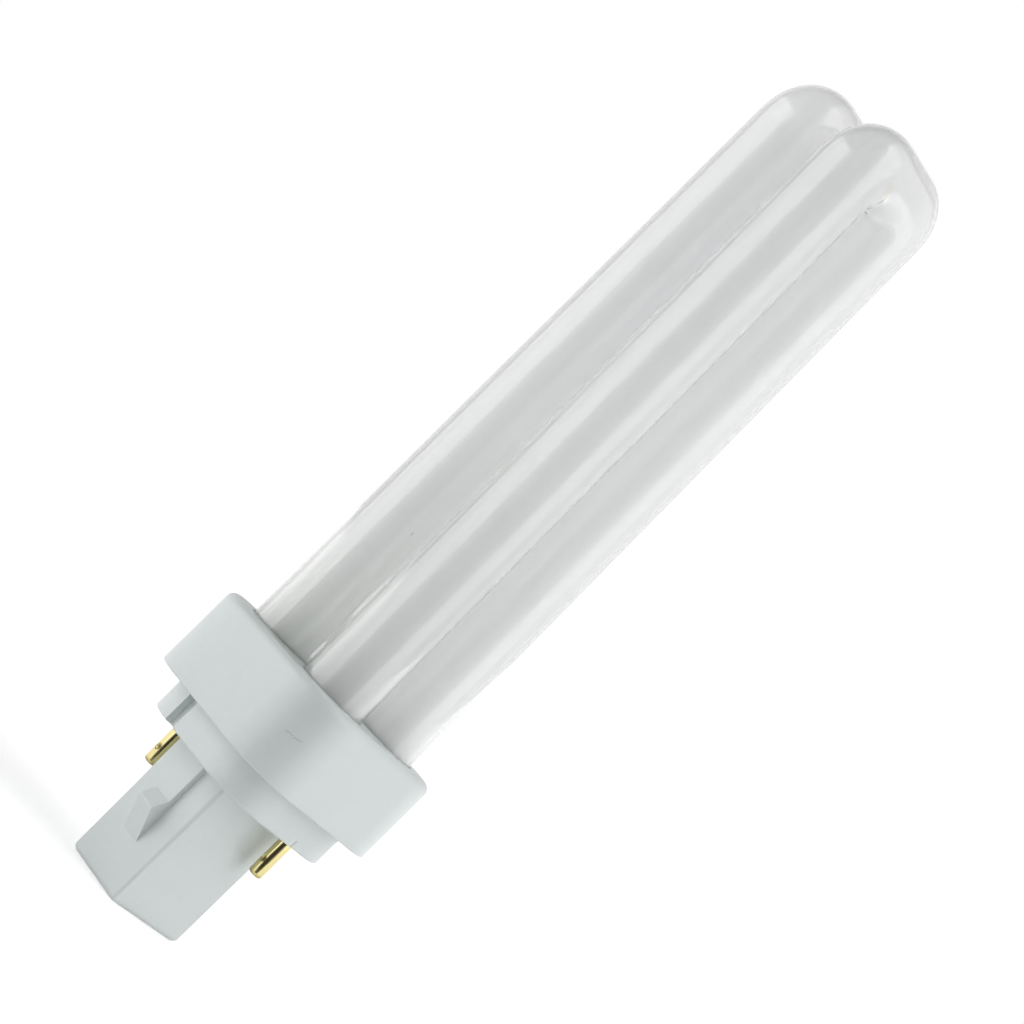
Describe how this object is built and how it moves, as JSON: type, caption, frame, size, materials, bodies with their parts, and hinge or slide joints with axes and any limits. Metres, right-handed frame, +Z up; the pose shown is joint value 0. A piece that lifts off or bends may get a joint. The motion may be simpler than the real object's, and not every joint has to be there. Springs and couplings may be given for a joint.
{
  "type": "compact fluorescent lamp",
  "caption": "Plug-in compact fluorescent lamp: white coated glass tubes with squared bends on a rounded square collar, a keyed plug and a latching post with brass contact pins.",
  "frame": {"origin": "centre of the collar's underside, at the root of the plug, on the lamp's axis", "axes": "+Z up the tubes, away from the pins; X across the post from latch to latch, in the planes of the tube bends; Y from bend to bend"},
  "size_m": [0.0366, 0.0366, 0.1691],
  "materials": {
    "coated_glass": "clear glass over a white powder coating, glossy",
    "collar_plastic": "fine satin moulding",
    "plug_plastic": "fine satin moulding",
    "pin_brass": "drawn, lightly tarnished",
    "cement": "matt cement",
    "lead_wire": "tinned wire",
    "starter_glass": "clear bottle glass",
    "capacitor_case": "dipped resin"
  },
  "bodies": {
    "root": {"discharge_tube": "coated_glass", "collar_shell": "collar_plastic", "plug_body": "plug_plastic", "contact_pin_left": "pin_brass", "contact_pin_right": "pin_brass", "tube_cement": "cement", "left_pin_lead": "lead_wire", "right_pin_lead": "lead_wire", "left_starter_lead": "lead_wire", "right_starter_lead": "lead_wire", "starter_bottle": "starter_glass", "starter_capacitor": "capacitor_case"}
  },
  "joints": []
}
